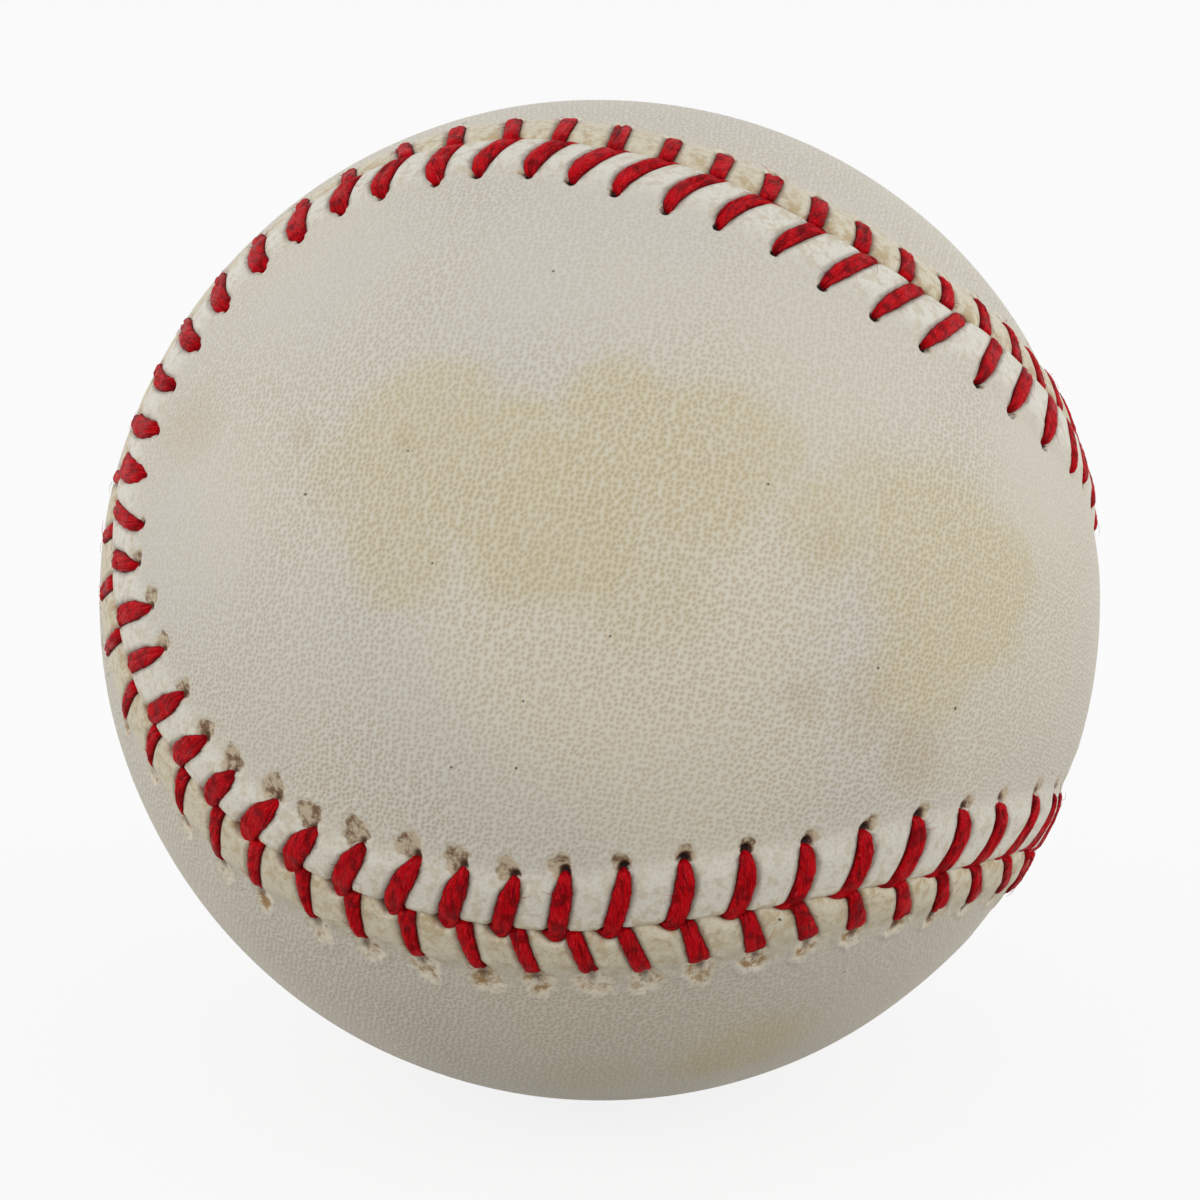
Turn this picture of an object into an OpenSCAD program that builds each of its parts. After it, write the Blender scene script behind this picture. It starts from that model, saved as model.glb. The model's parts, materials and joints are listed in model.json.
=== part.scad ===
// Hand-stitched ball: a cork and rubber pill, four yarn windings, and a leather
// cover of two figure-eight panels sewn edge to edge with two strands of thread.
// Millimetres. The ball's centre is the origin and +Z is up.
// The ball's own axis runs through the narrow waist of the front panel. lie()
// turns the ball from that axis to the way it lies.

/* [Ball] */
// Diameter over the leather, away from the stitches
ball_d = 74.4; // [73:0.2:76]
// Thickness of the leather
cover_t = 1.3; // [1.2:0.05:1.4]
// Clearance between one layer and the next
layer_gap = 0.02; // [0.01:0.01:0.04]

/* [Pill] */
// Diameter of the cork and rubber core
core_d = 20.6; // [19:0.2:22]
// Wall of the black rubber halves
black_wall = 4; // [3.6:0.1:4.4]
// Wall of the red rubber shell
red_wall = 2.4; // [2:0.1:2.8]
// Thickness of the rubber washer between the black halves
washer_t = 1; // [0.8:0.1:1.4]

/* [Windings] */
// Thickness of the outer, grey wool winding
outer_wool_t = 2.2; // [1.8:0.1:2.6]
// Thickness of the middle, white wool winding
middle_wool_t = 1.8; // [1.4:0.1:2.2]
// Thickness of the cotton finishing winding
cotton_t = 0.5; // [0.4:0.05:0.7]
// Thickness of the cement coat under the leather
cement_t = 0.1; // [0.08:0.01:0.15]

/* [Seam] */
// Width of a panel at its waist, measured over the ball
waist_w = 25.5; // [24:0.5:27]
// How far each lobe swells sideways, in degrees
lobe_swing = 23.4; // [22:0.2:24.4]
// How square each lobe is, in degrees
lobe_square = -0.5; // [-1:0.1:0.5]
// Gap between the two panels' edges
seam_gap = 0.2; // [0.1:0.05:0.4]
// How far the thinned margin of a panel reaches past its row of holes
margin_past = 0.9; // [0.6:0.1:1.5]

/* [Stitches] */
// Number of double stitches round the seam
stitch_count = 108; // [104:2:112]
// Distance from the seam line to a row of holes
hole_inset = 4.3; // [4:0.1:4.6]
// How far along the seam a stitch leans on its way from hole to notch
stitch_lean = 1.2; // [0.9:0.1:1.6]
// Gap between the two strands that share a notch
strand_gap = 0.15; // [0.1:0.05:0.3]
// Distance from the seam line at which a strand starts down into its notch
dive_v = 0.75; // [0.7:0.05:0.9]
// Part of a stitch by which the whole row is turned round the seam
stitch_phase = 0.95; // [0:0.05:1]

/* [Thread] */
// Width of the thread lying over the leather
arm_w = 1.7; // [1.5:0.1:1.8]
// Thickness of the thread lying over the leather
arm_t = 0.7; // [0.6:0.05:0.8]
// Width of the thread in a hole
hole_thread_w = 1.2; // [1:0.05:1.4]
// Width of the thread in a notch and under the leather
notch_thread_w = 0.85; // [0.7:0.05:1]
// Thickness of the thread under the leather
under_t = 0.54; // [0.44:0.02:0.6]
// Clearance between the thread and the leather that it lies on or under
thread_clear = 0.1; // [0.06:0.01:0.12]
// Clearance round the thread in a hole or a notch
hole_clear = 0.2; // [0.1:0.05:0.3]

/* [How the ball lies] */
// First turn of the ball, about X, in degrees
lie_x = 111.4; // [-180:0.1:180]
// Second turn, about Y
lie_y = -63.1; // [-180:0.1:180]
// Third turn, about Z
lie_z = 68.8; // [-180:0.1:180]

/* [Hidden] */
ball_r = ball_d / 2;
cover_in_r = ball_r - cover_t;
cement_r = cover_in_r - layer_gap;
cotton_r = cement_r - cement_t - layer_gap;
outer_wool_r = cotton_r - cotton_t - layer_gap;
middle_wool_r = outer_wool_r - outer_wool_t - layer_gap;
inner_wool_r = middle_wool_r - middle_wool_t - layer_gap;
core_r = core_d / 2;
black_in_r = core_r + layer_gap;
black_r = black_in_r + black_wall;
red_in_r = black_r + layer_gap;
red_r = red_in_r + red_wall;
inner_wool_in_r = red_r + layer_gap;
overrun = cover_t / 2;
// Holes and notches leave room round the thread that passes through them.
hole_d = hole_thread_w + 2 * hole_clear;
strand_offset = (notch_thread_w + strand_gap) / 2;
notch_d = 2 * norm([strand_offset + notch_thread_w / 2, dive_v]) + hole_clear;
// The margin's underside is pared away by the thread's thickness and its clearances.
margin_cut = under_t + 2 * thread_clear;
margin_w = hole_inset + hole_d / 2 + margin_past;

// The seam as a curve on a ball of radius one: t runs from 0 to 720 degrees.
seam_turn = 720;
waist_a = waist_w / ball_d * 180 / PI;
function seam_down(t) = 90 - (90 - waist_a) * cos(t) - lobe_square * (cos(3 * t) - cos(t));
function seam_round(t) = t / 2 + lobe_swing * sin(2 * t);
function seam_dir(t) = [
  sin(seam_down(t)) * cos(seam_round(t)),
  sin(seam_down(t)) * sin(seam_round(t)),
  cos(seam_down(t))
];
function unit(v) = v / norm(v);
seam_nudge = 0.05;
function seam_along(t) = unit(seam_dir(t + seam_nudge) - seam_dir(t - seam_nudge));
function seam_across(t) = cross(seam_dir(t), seam_along(t));

// Table of seam length, as a share of the whole, against t.
seam_steps = 720;
step_len = [for (i = [0 : seam_steps - 1])
  norm(seam_dir((i + 1) * seam_turn / seam_steps) - seam_dir(i * seam_turn / seam_steps))];
seam_run = [for (i = 0, s = 0; i <= seam_steps; s = s + (i < seam_steps ? step_len[i] : 0), i = i + 1) s];
seam_whole = seam_run[seam_steps];
run_table = [for (i = [0 : seam_steps]) [seam_run[i] / seam_whole, i * seam_turn / seam_steps]];
seam_len = seam_whole * ball_r;
pitch = seam_len / stitch_count;
// The sewing goes round against t.
function t_of(u) = lookup(1 - (u / seam_len - floor(u / seam_len)), run_table);

// Direction at a distance v across the seam, to the front panel's side for v above 0.
function across_dir(t, v) = seam_dir(t) * cos(v / ball_r * 180 / PI)
  + seam_across(t) * sin(v / ball_r * 180 / PI);
// Place at a distance u along the seam, v across it and h above the leather.
function place(u, v, h) = (ball_r + h) * across_dir(t_of(u), v);
function stitch_u(k) = (k + stitch_phase) * pitch;

// Which side of the seam: the front panel, and the panel over the top and the bottom.
front = 1;
top = -1;

module lie() { rotate([lie_x, lie_y, lie_z]) children(); }

module ball(r) { sphere(r = r, $fn = 120); }

module shell(r_in, r_out) {
  difference() {
    ball(r_out);
    ball(r_in);
  }
}

// A wedge from the ball's centre that covers one panel, its edge drawn in by inset.
edge_points = 180;
wedge_reach = ball_r * 2;
module panel_wedge(side, inset) {
  n = edge_points;
  tip = side == front ? n / 4 : 0;
  edge = [for (i = [0 : n - 1]) wedge_reach * across_dir(i * seam_turn / n, side * inset)];
  spine = [for (j = [1 : n / 2 - 1]) wedge_reach * unit(edge[(tip + j) % n] + edge[(tip - j + n) % n])];
  function e(i) = 1 + (i + 2 * n) % n;
  function s(j) = j == 0 ? e(tip) : j == n / 2 ? e(tip + n / 2) : n + j;
  walls = [for (i = [0 : n - 1]) [0, e(i), e(i + 1)]];
  caps = [for (j = [0 : n / 2 - 1]) each [
    [e(tip + j), s(j), s(j + 1)],
    [e(tip + j), s(j + 1), e(tip + j + 1)],
    [e(tip - j), s(j + 1), s(j)],
    [e(tip - j), e(tip - j - 1), s(j + 1)]
  ]];
  whole = [for (f = concat(walls, caps)) if (f[0] != f[1] && f[1] != f[2] && f[0] != f[2]) f];
  polyhedron(
    points = concat([[0, 0, 0]], edge, spine),
    faces = side == front ? whole : [for (f = whole) [f[0], f[2], f[1]]]
  );
}

module aim(d) { rotate([0, acos(d.z), atan2(d.y, d.x)]) children(); }

// A hole through the leather along the ball's radius.
module bore(u, v, d) {
  aim(unit(place(u, v, 0)))
    translate([0, 0, cover_in_r - overrun])
      cylinder(h = cover_t + 2 * overrun, d = d, $fn = 24);
}

module panel(side) {
  difference() {
    intersection() {
      shell(cover_in_r, ball_r);
      panel_wedge(side, seam_gap / 2);
    }
    difference() {
      shell(cover_in_r - overrun, cover_in_r + margin_cut);
      panel_wedge(side, margin_w);
    }
    for (k = [0 : stitch_count - 1]) {
      bore(stitch_u(k), side * hole_inset, hole_d);
      bore(stitch_u(k) + stitch_lean, 0, notch_d);
    }
  }
}

// One strand. It comes up through a hole, lies over the leather to the seam, goes
// down the notch, passes under the other panel and comes up that panel's next hole.
ring_points = 6;
top_h = thread_clear + arm_t / 2;
under_h = margin_cut - cover_t - thread_clear - under_t / 2;
arm_mid_share = 0.55;
function strand_rings(k, side) = let (
  u = stitch_u(k),
  dive_u = u + stitch_lean + side * strand_offset,
  mid_u = u + (dive_u - u) * arm_mid_share,
  mid_v = hole_inset + (dive_v - hole_inset) * arm_mid_share
) [
  [u, side * hole_inset, under_h, hole_thread_w, under_t],
  [u, side * hole_inset, top_h, hole_thread_w, arm_t],
  [mid_u, side * mid_v, top_h, arm_w, arm_t],
  [dive_u, side * dive_v, top_h, notch_thread_w, arm_t],
  [dive_u, 0, (top_h + under_h) / 2, notch_thread_w, under_t],
  [dive_u, -side * dive_v, under_h, notch_thread_w, under_t]
];
module strand(first_side) {
  rings = [for (k = [0 : stitch_count - 1]) each strand_rings(k, k % 2 == 0 ? first_side : -first_side)];
  m = len(rings);
  mid = [for (r = rings) place(r[0], r[1], r[2])];
  points = [for (i = [0 : m - 1]) let (
    way = unit(unit(mid[(i + 1) % m] - mid[i]) + unit(mid[i] - mid[(i - 1 + m) % m])),
    along = -seam_along(t_of(rings[i][0])),
    wide = unit(along - (along * way) * way),
    thick = cross(way, wide)
  ) for (j = [0 : ring_points - 1])
    mid[i] + rings[i][3] / 2 * cos(360 * j / ring_points) * wide
           + rings[i][4] / 2 * sin(360 * j / ring_points) * thick];
  function p(i, j) = (i % m) * ring_points + j % ring_points;
  polyhedron(points = points, faces = [for (i = [0 : m - 1]) for (j = [0 : ring_points - 1]) each [
    [p(i, j), p(i + 1, j + 1), p(i, j + 1)],
    [p(i, j), p(i + 1, j), p(i + 1, j + 1)]
  ]]);
}

module cork_core() { color([0.55, 0.38, 0.24]) ball(core_r); }

module black_half(up) {
  color([0.08, 0.08, 0.09])
    intersection() {
      shell(black_in_r, black_r);
      mirror([0, 0, up ? 0 : 1])
        translate([0, 0, washer_t / 2])
          cylinder(h = black_r, r = black_r + overrun, $fn = 96);
    }
}
module black_rubber_half_upper() { black_half(true); }
module black_rubber_half_lower() { black_half(false); }

module rubber_washer() {
  color([0.62, 0.12, 0.1])
    intersection() {
      shell(black_in_r, black_r);
      translate([0, 0, layer_gap - washer_t / 2])
        cylinder(h = washer_t - 2 * layer_gap, r = black_r + overrun, $fn = 96);
    }
}

module red_rubber_shell() { color([0.66, 0.14, 0.12]) shell(red_in_r, red_r); }
module wool_winding_inner() { color([0.5, 0.5, 0.5]) shell(inner_wool_in_r, inner_wool_r); }
module wool_winding_middle() { color([0.88, 0.87, 0.83]) shell(inner_wool_r + layer_gap, middle_wool_r); }
module wool_winding_outer() { color([0.5, 0.5, 0.5]) shell(middle_wool_r + layer_gap, outer_wool_r); }
module cotton_winding() { color([0.92, 0.91, 0.88]) shell(outer_wool_r + layer_gap, cotton_r); }
module cement_coat() { color([0.86, 0.82, 0.7]) shell(cotton_r + layer_gap, cement_r); }

module cover_panel_front() { color([0.8, 0.78, 0.73]) lie() panel(front); }
module cover_panel_top() { color([0.8, 0.78, 0.73]) lie() panel(top); }
module stitch_thread_one() { color([0.7, 0.05, 0.1]) lie() strand(front); }
module stitch_thread_two() { color([0.7, 0.05, 0.1]) lie() strand(top); }

cork_core();
black_rubber_half_upper();
black_rubber_half_lower();
rubber_washer();
red_rubber_shell();
wool_winding_inner();
wool_winding_middle();
wool_winding_outer();
cotton_winding();
cement_coat();
cover_panel_front();
cover_panel_top();
stitch_thread_one();
stitch_thread_two();
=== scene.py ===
import json
import math

import bpy
import numpy as np
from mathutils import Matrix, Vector


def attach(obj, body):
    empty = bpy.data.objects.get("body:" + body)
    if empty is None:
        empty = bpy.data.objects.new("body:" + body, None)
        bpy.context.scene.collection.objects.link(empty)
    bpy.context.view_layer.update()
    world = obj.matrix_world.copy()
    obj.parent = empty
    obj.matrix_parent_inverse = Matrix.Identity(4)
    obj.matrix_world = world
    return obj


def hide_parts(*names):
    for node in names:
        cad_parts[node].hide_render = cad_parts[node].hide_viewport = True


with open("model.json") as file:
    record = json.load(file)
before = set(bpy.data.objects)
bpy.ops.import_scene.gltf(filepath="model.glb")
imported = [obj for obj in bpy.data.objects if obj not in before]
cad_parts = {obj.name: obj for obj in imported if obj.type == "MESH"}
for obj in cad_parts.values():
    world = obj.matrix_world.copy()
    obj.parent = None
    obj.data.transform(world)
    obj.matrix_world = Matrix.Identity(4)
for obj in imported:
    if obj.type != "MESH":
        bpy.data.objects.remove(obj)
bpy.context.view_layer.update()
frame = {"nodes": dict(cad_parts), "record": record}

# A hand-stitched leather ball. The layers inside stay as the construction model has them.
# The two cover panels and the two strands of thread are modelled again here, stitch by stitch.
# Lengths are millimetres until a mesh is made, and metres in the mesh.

MM = 0.001

# The ball and its seam, with the sizes of the construction model
BALL_R = -frame["record"]["mounts"][0]["pos_m"][2] / MM
WAIST_W = 25.5
LOBE_SWING = math.radians(23.4)
LOBE_SQUARE = math.radians(-0.5)
LIE = [math.radians(a) for a in (111.4, -63.1, 68.8)]
STITCHES = 108
STITCH_PHASE = 0.94
FRONT, TOP = 1, -1

# The camera: the photograph is a square, and the ball's outline in it is a circle
PHOTO_SIZE = 1200
PHOTO_FOCAL = 3467
PHOTO_CENTRE = (599.8, 598.8)
CAMERA_ELEVATION = math.radians(16)
CAMERA_DISTANCE = 260.3
SENSOR_WIDTH = 36
EYE = CAMERA_DISTANCE * np.array([0, -math.cos(CAMERA_ELEVATION), math.sin(CAMERA_ELEVATION)])

# Heights of the leather above the ball, and distances from the seam
RIDGE_H = 0.12
RIDGE_TOP_V = 2.2
RIDGE_FOOT_V = 6.6
PILLOW_H = 0.27
PILLOW_CROWN = 0.1
GROOVE_SLOPE = 0.45
EDGE_ROUND = {FRONT: 0.5, TOP: 1.3}
EDGE_DROP = {FRONT: 0.38, TOP: 0.5}
EDGE_SCALLOP = 0.12
LEATHER_UNDER = -0.75
LEATHER_INSIDE = -1.28
MARGIN_W = 6.0
FINE_W = 7.4

THREAD_UNDER_H = -1.02


# Numbers and vectors

def unit(v):
    """Each vector divided by its own length."""
    return v / np.linalg.norm(v, axis=-1, keepdims=True)


def smooth(x):
    """0 below 0, 1 above 1, and the smooth cubic step between."""
    x = np.clip(x, 0, 1)
    return x * x * (3 - 2 * x)


def between(a, b, c, d, f):
    """A Catmull-Rom curve at the share f of the way from b to c, with a before them and d after."""
    bend = 2 * a - 5 * b + 4 * c - d
    return 0.5 * (2 * b + (c - a) * f + bend * f ** 2 + (3 * b - a - 3 * c + d) * f ** 3)


def loop_curve(values, at):
    """A closed Catmull-Rom curve through values, read at places counted in whole values."""
    n = len(values)
    i = np.floor(at).astype(int)
    f = (at - i).reshape(at.shape + (1,) * (values.ndim - 1))
    return between(*(values[(i + j) % n] for j in (-1, 0, 1, 2)), f)


def lie_matrix():
    """Turns about X, then Y, then Z, as the construction model lies."""
    (cx, cy, cz), (sx, sy, sz) = np.cos(LIE), np.sin(LIE)
    about_x = np.array([[1, 0, 0], [0, cx, -sx], [0, sx, cx]])
    about_y = np.array([[cy, 0, sy], [0, 1, 0], [-sy, 0, cy]])
    about_z = np.array([[cz, -sz, 0], [sz, cz, 0], [0, 0, 1]])
    return about_z @ about_y @ about_x


LYING = lie_matrix()


# The seam

def seam_dir(t):
    """The seam on a ball of radius one, t from 0 to two turns: the angle down from the ball's
    axis swings by a cosine, and the angle round it goes once, with a sine of twice t added."""
    waist = WAIST_W / 2 / BALL_R
    down = math.pi / 2 - (math.pi / 2 - waist) * np.cos(t) - LOBE_SQUARE * (np.cos(3 * t) - np.cos(t))
    turned = t / 2 + LOBE_SWING * np.sin(2 * t)
    return np.stack([np.sin(down) * np.cos(turned), np.sin(down) * np.sin(turned), np.cos(down)], -1)


SEAM_STEPS = 7200
SEAM_T = np.linspace(0, 4 * math.pi, SEAM_STEPS + 1)
SEAM_RUN = np.r_[0, np.cumsum(np.linalg.norm(np.diff(seam_dir(SEAM_T), axis=0), axis=1))] * BALL_R
SEAM_LEN = SEAM_RUN[-1]
PITCH = SEAM_LEN / STITCHES
NUDGE = 1e-3


def seam_t(u):
    """The seam's t at a distance u along the sewing, which goes round against t."""
    return np.interp(SEAM_LEN - u % SEAM_LEN, SEAM_RUN, SEAM_T)


def place(u, v, h):
    """Point at u along the seam, v across it over the ball, positive to the front panel, and h above it."""
    t = seam_t(u)
    away = seam_dir(t)
    along = unit(seam_dir(t + NUDGE) - seam_dir(t - NUDGE))
    across = np.cross(away, along)
    turn = (v / BALL_R)[..., None]
    ball = (away * np.cos(turn) + across * np.sin(turn)) * (BALL_R + h)[..., None]
    return ball @ LYING.T


def sewing_dir(u):
    """The direction of the sewing along the seam at u."""
    t = seam_t(u)
    return unit(seam_dir(t - NUDGE) - seam_dir(t + NUDGE)) @ LYING.T


# The hand-sewn stitches. Station 56 is the first one that the photograph shows, at its lower right,
# and 45 more follow it in view. Lengths along the seam are counted from the stitch's even place,
# forwards in the sewing.

FIRST_SEEN = 56
LAST_SEEN = 45
STEADY = 0.25
seen = (np.arange(STITCHES) - FIRST_SEEN) % STITCHES
station_u = (np.arange(STITCHES) + STITCH_PHASE) * PITCH


def by_hand(*points):
    """A value for every stitch from (stitch, value) pairs, counted from the first one seen."""
    at, value = zip(*points)
    return np.interp(seen, at, value, period=STITCHES)


sewing_rng = np.random.default_rng(108)


def shaky(size):
    """A random amount for every stitch, small where the stitch's place is listed."""
    return sewing_rng.normal(0, size, STITCHES) * np.where(seen <= LAST_SEEN, STEADY, 1)


# How far the seam lies to the front panel's side of its true line
seam_wander = by_hand(
    (0, 0.6), (1, 0.5), (3, 0.1), (6, -0.2), (10, -0.2), (11, 0.1), (12, 0.5), (13, 0.8), (14, 1.1),
    (16, 1.3), (18, 1.1), (19, 0.8), (20, 0.2), (22, 0.1), (23, 0.4), (25, 0), (26, -0.5), (28, -1),
    (30, -1.1), (31, -0.9), (33, -0.6), (35, 0), (36, 0.5), (38, 0.4), (40, 0.8), (41, 0.7), (43, 0.3),
    (44, -0.5), (45, -0.8), (46, -1.15), (47, -1.4), (50, -1.8), (53, -1.2), (57, 0), (100, 0),
    (103, -0.9), (106, -0.7), (107, -0.1)
) + shaky(0.08)

# Distance of each hole from the seam, and its place along it
hole_v = {
    FRONT: by_hand(
        (0, 4.5), (4, 4.7), (6, 4.3), (7, 4.5), (10, 4.5), (11, 3.9), (13, 4.3), (15, 3.6), (16, 3.9),
        (17, 3.5), (18, 3.8), (19, 4.6), (20, 5), (21, 5.3), (22, 4.8), (23, 5.9), (25, 5.8), (30, 5.8),
        (31, 5.4), (33, 5.8), (34, 5.2), (36, 4.7), (38, 5.5), (40, 4.7), (41, 5.5), (43, 5.4),
        (44, 5.35), (45, 5.4), (46, 5.1), (47, 4.9), (48, 4), (51, 4), (55, 4.5), (104, 4.5)
    ) + shaky(0.12),
    TOP: by_hand(
        (0, 3.2), (2, 3.3), (6, 3.4), (9, 4.1), (10, 3.7), (12, 4.2), (14, 4.1), (16, 4.4), (17, 4.8),
        (19, 3.7), (20, 4), (21, 4.2), (23, 3.6), (31, 3), (33, 3.2), (36, 4), (37, 3.3), (40, 3.5),
        (43, 3.1), (46, 3.8), (104, 3.8)
    ) + shaky(0.12),
}
hole_u = {
    FRONT: station_u + by_hand(
        (0, -0.4), (1, 0), (2, 0.75), (8, 0.85), (10, 0.7), (11, 0.2), (12, -0.2), (13, -0.75),
        (14, -0.35), (16, -0.15), (17, 0.35), (19, 0.45), (20, 0.65), (21, 0.2), (22, 0.2), (23, -0.8),
        (24, 1), (25, 1.6), (26, 1.25), (28, 0.5), (29, 0.7), (31, 0.55), (32, 0.15), (33, 0.95),
        (34, 0.3), (35, 0.55), (36, 0), (37, -0.55), (39, -0.9), (40, -0.7), (43, -1.2), (44, -0.6),
        (45, -1.2), (46, -0.3), (47, 0.6), (48, 0.2), (104, 0.2), (107, -0.8)
    ) + shaky(0.2),
    TOP: station_u + by_hand(
        (0, -2.2), (1, -2.1), (2, -1.3), (3, -1), (5, -0.4), (8, 0.1), (9, 0.2), (12, -0.5), (14, 0),
        (15, -0.4), (16, 0.2), (17, -0.3), (19, -0.1), (20, 0.2), (21, 1.3), (22, 1.5), (31, 0.7),
        (34, 1), (36, 1.05), (38, 0.8), (40, 0.45), (41, -0.05), (43, -0.3), (47, 0), (104, 0)
    ) + shaky(0.2),
}

# Where the middle of each arm crosses the seam, and how far the arm bows backwards of a straight line
cross_u = {
    FRONT: station_u + by_hand(
        (0, 0.9), (2, 1.2), (4, 1.35), (6, 1.6), (8, 1.85), (9, 2.1), (10, 1.75), (12, 1.3), (14, 1.4),
        (16, 1.7), (19, 1.9), (20, 2.3), (21, 2.1), (22, 2.7), (23, 2.9), (24, 2.2), (25, 1.3),
        (26, 1.15), (28, 1.3), (31, 1.5), (33, 1.5), (34, 1.9), (36, 1.8), (37, 1.5), (38, 1.35),
        (39, 0.95), (41, 1.3), (43, 1.4), (48, 1.6), (106, 1.5)
    ) + shaky(0.15),
    TOP: station_u + by_hand(
        (0, 0), (1, 0.4), (2, 1), (3, 0.7), (5, 0.9), (6, 1.15), (7, 0.9), (9, 1.3), (10, 0.8), (12, 0.2),
        (14, 0.4), (17, 0.65), (20, 0.8), (22, 1.1), (31, 0.9), (32, 1.6), (33, 1.25), (34, 1.6),
        (35, 1.2), (36, 1.45), (38, 1.05), (40, 0.8), (41, 0.35), (43, 0.05), (47, 0.5), (104, 0.5)
    ) + shaky(0.15),
}
bow = {
    FRONT: by_hand(
        (0, 1.2), (2, 1), (4, 0.5), (8, 0.28), (10, 0), (13, -0.2), (15, -0.25), (18, -0.15), (19, 0.1),
        (21, -0.15), (23, 0), (25, 0.25), (31, 0.35), (32, 0.5), (36, 0.4), (38, 0.6), (40, 0.2),
        (43, 0.15), (50, 0.1), (104, 0.1)
    ),
    TOP: by_hand(
        (0, 0), (4, 0.05), (10, 0), (12, -0.15), (19, -0.3), (21, 0), (40, -0.1), (43, -0.2), (50, 0)
    ),
}

# The foot of each of the front panel's arms: how far its toe reaches along the seam, and how far
# the foot lies over the other panel's edge
toe = by_hand(
    (0, 1.4), (3, 1.3), (4, 1.5), (6, 1.3), (7, 0.95), (10, 1), (13, 0.75), (16, 1), (20, 0.7), (23, 0.9),
    (30, 0.9), (33, 0.8), (34, 1.3), (36, 1.8), (37, 1.5), (38, 0.9), (39, 2.3), (40, 0.9), (43, 0.8),
    (48, 1), (106, 1.2)
) * np.exp(shaky(0.2))
foot_v = by_hand(
    (0, 0.1), (3, 0.2), (5, 0.4), (7, 0.5), (8, 0.7), (10, 0.95), (12, 0.85), (15, 0.9), (18, 0.55),
    (21, 0.4), (24, 0.3), (30, 0.7), (32, 0.4), (35, 0.15), (39, 0.15), (43, 0.4), (48, 0.5), (104, 0.4)
)

# Width of each arm at the seam and at its hole, measured along the seam
arm_w = {
    FRONT: by_hand(
        (0, 1.6), (4, 1.55), (5, 1.4), (9, 1.35), (12, 1.6), (14, 1.7), (16, 1.95), (17, 1.7), (18, 1.8),
        (20, 1.5), (23, 1.6), (24, 1.95), (26, 1.2), (27, 1.5), (30, 1.7), (32, 1.8), (34, 1.6),
        (36, 1.7), (38, 1.3), (43, 1.35), (50, 1.5), (104, 1.5)
    ) * np.exp(shaky(0.1)),
    TOP: by_hand(
        (0, 1), (5, 1.05), (9, 1.2), (13, 1.25), (20, 1.1), (33, 1.15), (38, 1.15), (41, 1.2), (50, 1.2),
        (104, 1.1)
    ) * np.exp(shaky(0.1)),
}
end_w = {
    FRONT: by_hand(
        (0, 1), (4, 1), (8, 0.9), (12, 0.85), (16, 0.85), (22, 0.8), (24, 1.3), (26, 1.1), (28, 1.5),
        (30, 1.5), (32, 1.35), (34, 1.1), (38, 0.95), (43, 0.75), (50, 0.85), (104, 0.85)
    ),
    TOP: by_hand(
        (0, 1.7), (8, 1.6), (9, 1.35), (12, 0.95), (14, 1), (15, 0.6), (16, 1), (18, 0.6), (20, 0.8),
        (33, 1.2), (37, 1.2), (39, 1.4), (43, 1.1), (50, 1.1), (104, 1.3)
    ),
}
WIDEN = {FRONT: 0.32, TOP: 0.9}
PAST_HOLE = 1.5

# How far each side of the seam is pressed in where it passes the ball's outline
pressed = {
    FRONT: by_hand(
        (0, 0), (46, 0), (48, 0.15), (51, 0.15), (54, 0), (102, 0), (104, 0.25), (106, 0.25), (107, 0.1)
    ),
    TOP: by_hand(
        (0, 0), (22, 0), (25, 0.34), (30, 0.34), (33, 0), (42, 0), (45, 0.2), (51, 0.2), (54, 0),
        (102, 0), (104, 0.25), (106, 0.25), (107, 0.1)
    ),
}
PRESSED_W = 9.0
PRESSED_FADE = 5.0
PRESSED_BLEND = 1.5

# The torn leather beyond each hole: its middle counted from the hole, its half width and half
# height, and how deep the hole itself is and how dark its painted shade is
tear_u = {
    FRONT: by_hand(
        (0, 0), (2, -0.3), (5, -0.45), (8, -0.1), (10, 0.3), (13, 0.7), (15, 0.75), (17, 0.5), (19, 0.2),
        (21, 0.6), (24, 0.2), (33, -0.3), (35, -0.6), (38, -0.2), (43, 0.2), (50, 0.2), (106, 0)
    ) + shaky(0.15),
    TOP: by_hand(
        (0, -0.1), (8, 0), (14, -0.35), (18, -0.3), (33, 0), (43, -0.2), (50, -0.2)
    ) + shaky(0.15),
}
tear_v = {
    FRONT: by_hand(
        (0, 0.9), (3, 0.6), (10, 0.7), (15, 1), (17, 0.95), (19, 0.6), (21, 0.7), (24, 0.2), (35, 0.2),
        (43, 0.25), (50, 0.5), (104, 0.7)
    ),
    TOP: by_hand(
        (0, 0.6), (4, 0.8), (8, 1.05), (12, 1.1), (15, 1.05), (19, 1), (31, 0.6), (43, 0.7), (50, 0.8)
    ),
}
tear_w = {
    FRONT: by_hand(
        (0, 0.75), (2, 0.65), (4, 0.55), (8, 0.6), (10, 0.8), (12, 0.9), (13, 1.05), (15, 1.2),
        (17, 1.05), (19, 0.8), (20, 0.75), (21, 0.95), (23, 0.5), (25, 0.25), (32, 0.25), (34, 0.45),
        (38, 0.35), (43, 0.4), (50, 0.6), (104, 0.65)
    ) * np.exp(shaky(0.15)),
    TOP: by_hand(
        (0, 0.8), (4, 0.9), (8, 1.2), (10, 1.15), (13, 1), (15, 0.9), (17, 0.7), (20, 0.5), (33, 0.7),
        (43, 0.9), (50, 0.8)
    ) * np.exp(shaky(0.15)),
}
tear_tall = {
    FRONT: by_hand(
        (0, 0.7), (3, 0.6), (8, 0.75), (10, 1), (13, 1.1), (17, 1.2), (19, 0.9), (21, 0.9), (24, 0.3),
        (34, 0.4), (43, 0.45), (50, 0.6), (104, 0.7)
    ) * np.exp(shaky(0.15)),
    TOP: by_hand(
        (0, 0.7), (4, 0.9), (8, 1.4), (14, 1.4), (20, 1.3), (31, 0.6), (43, 0.65), (50, 0.9)
    ) * np.exp(shaky(0.15)),
}
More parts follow.
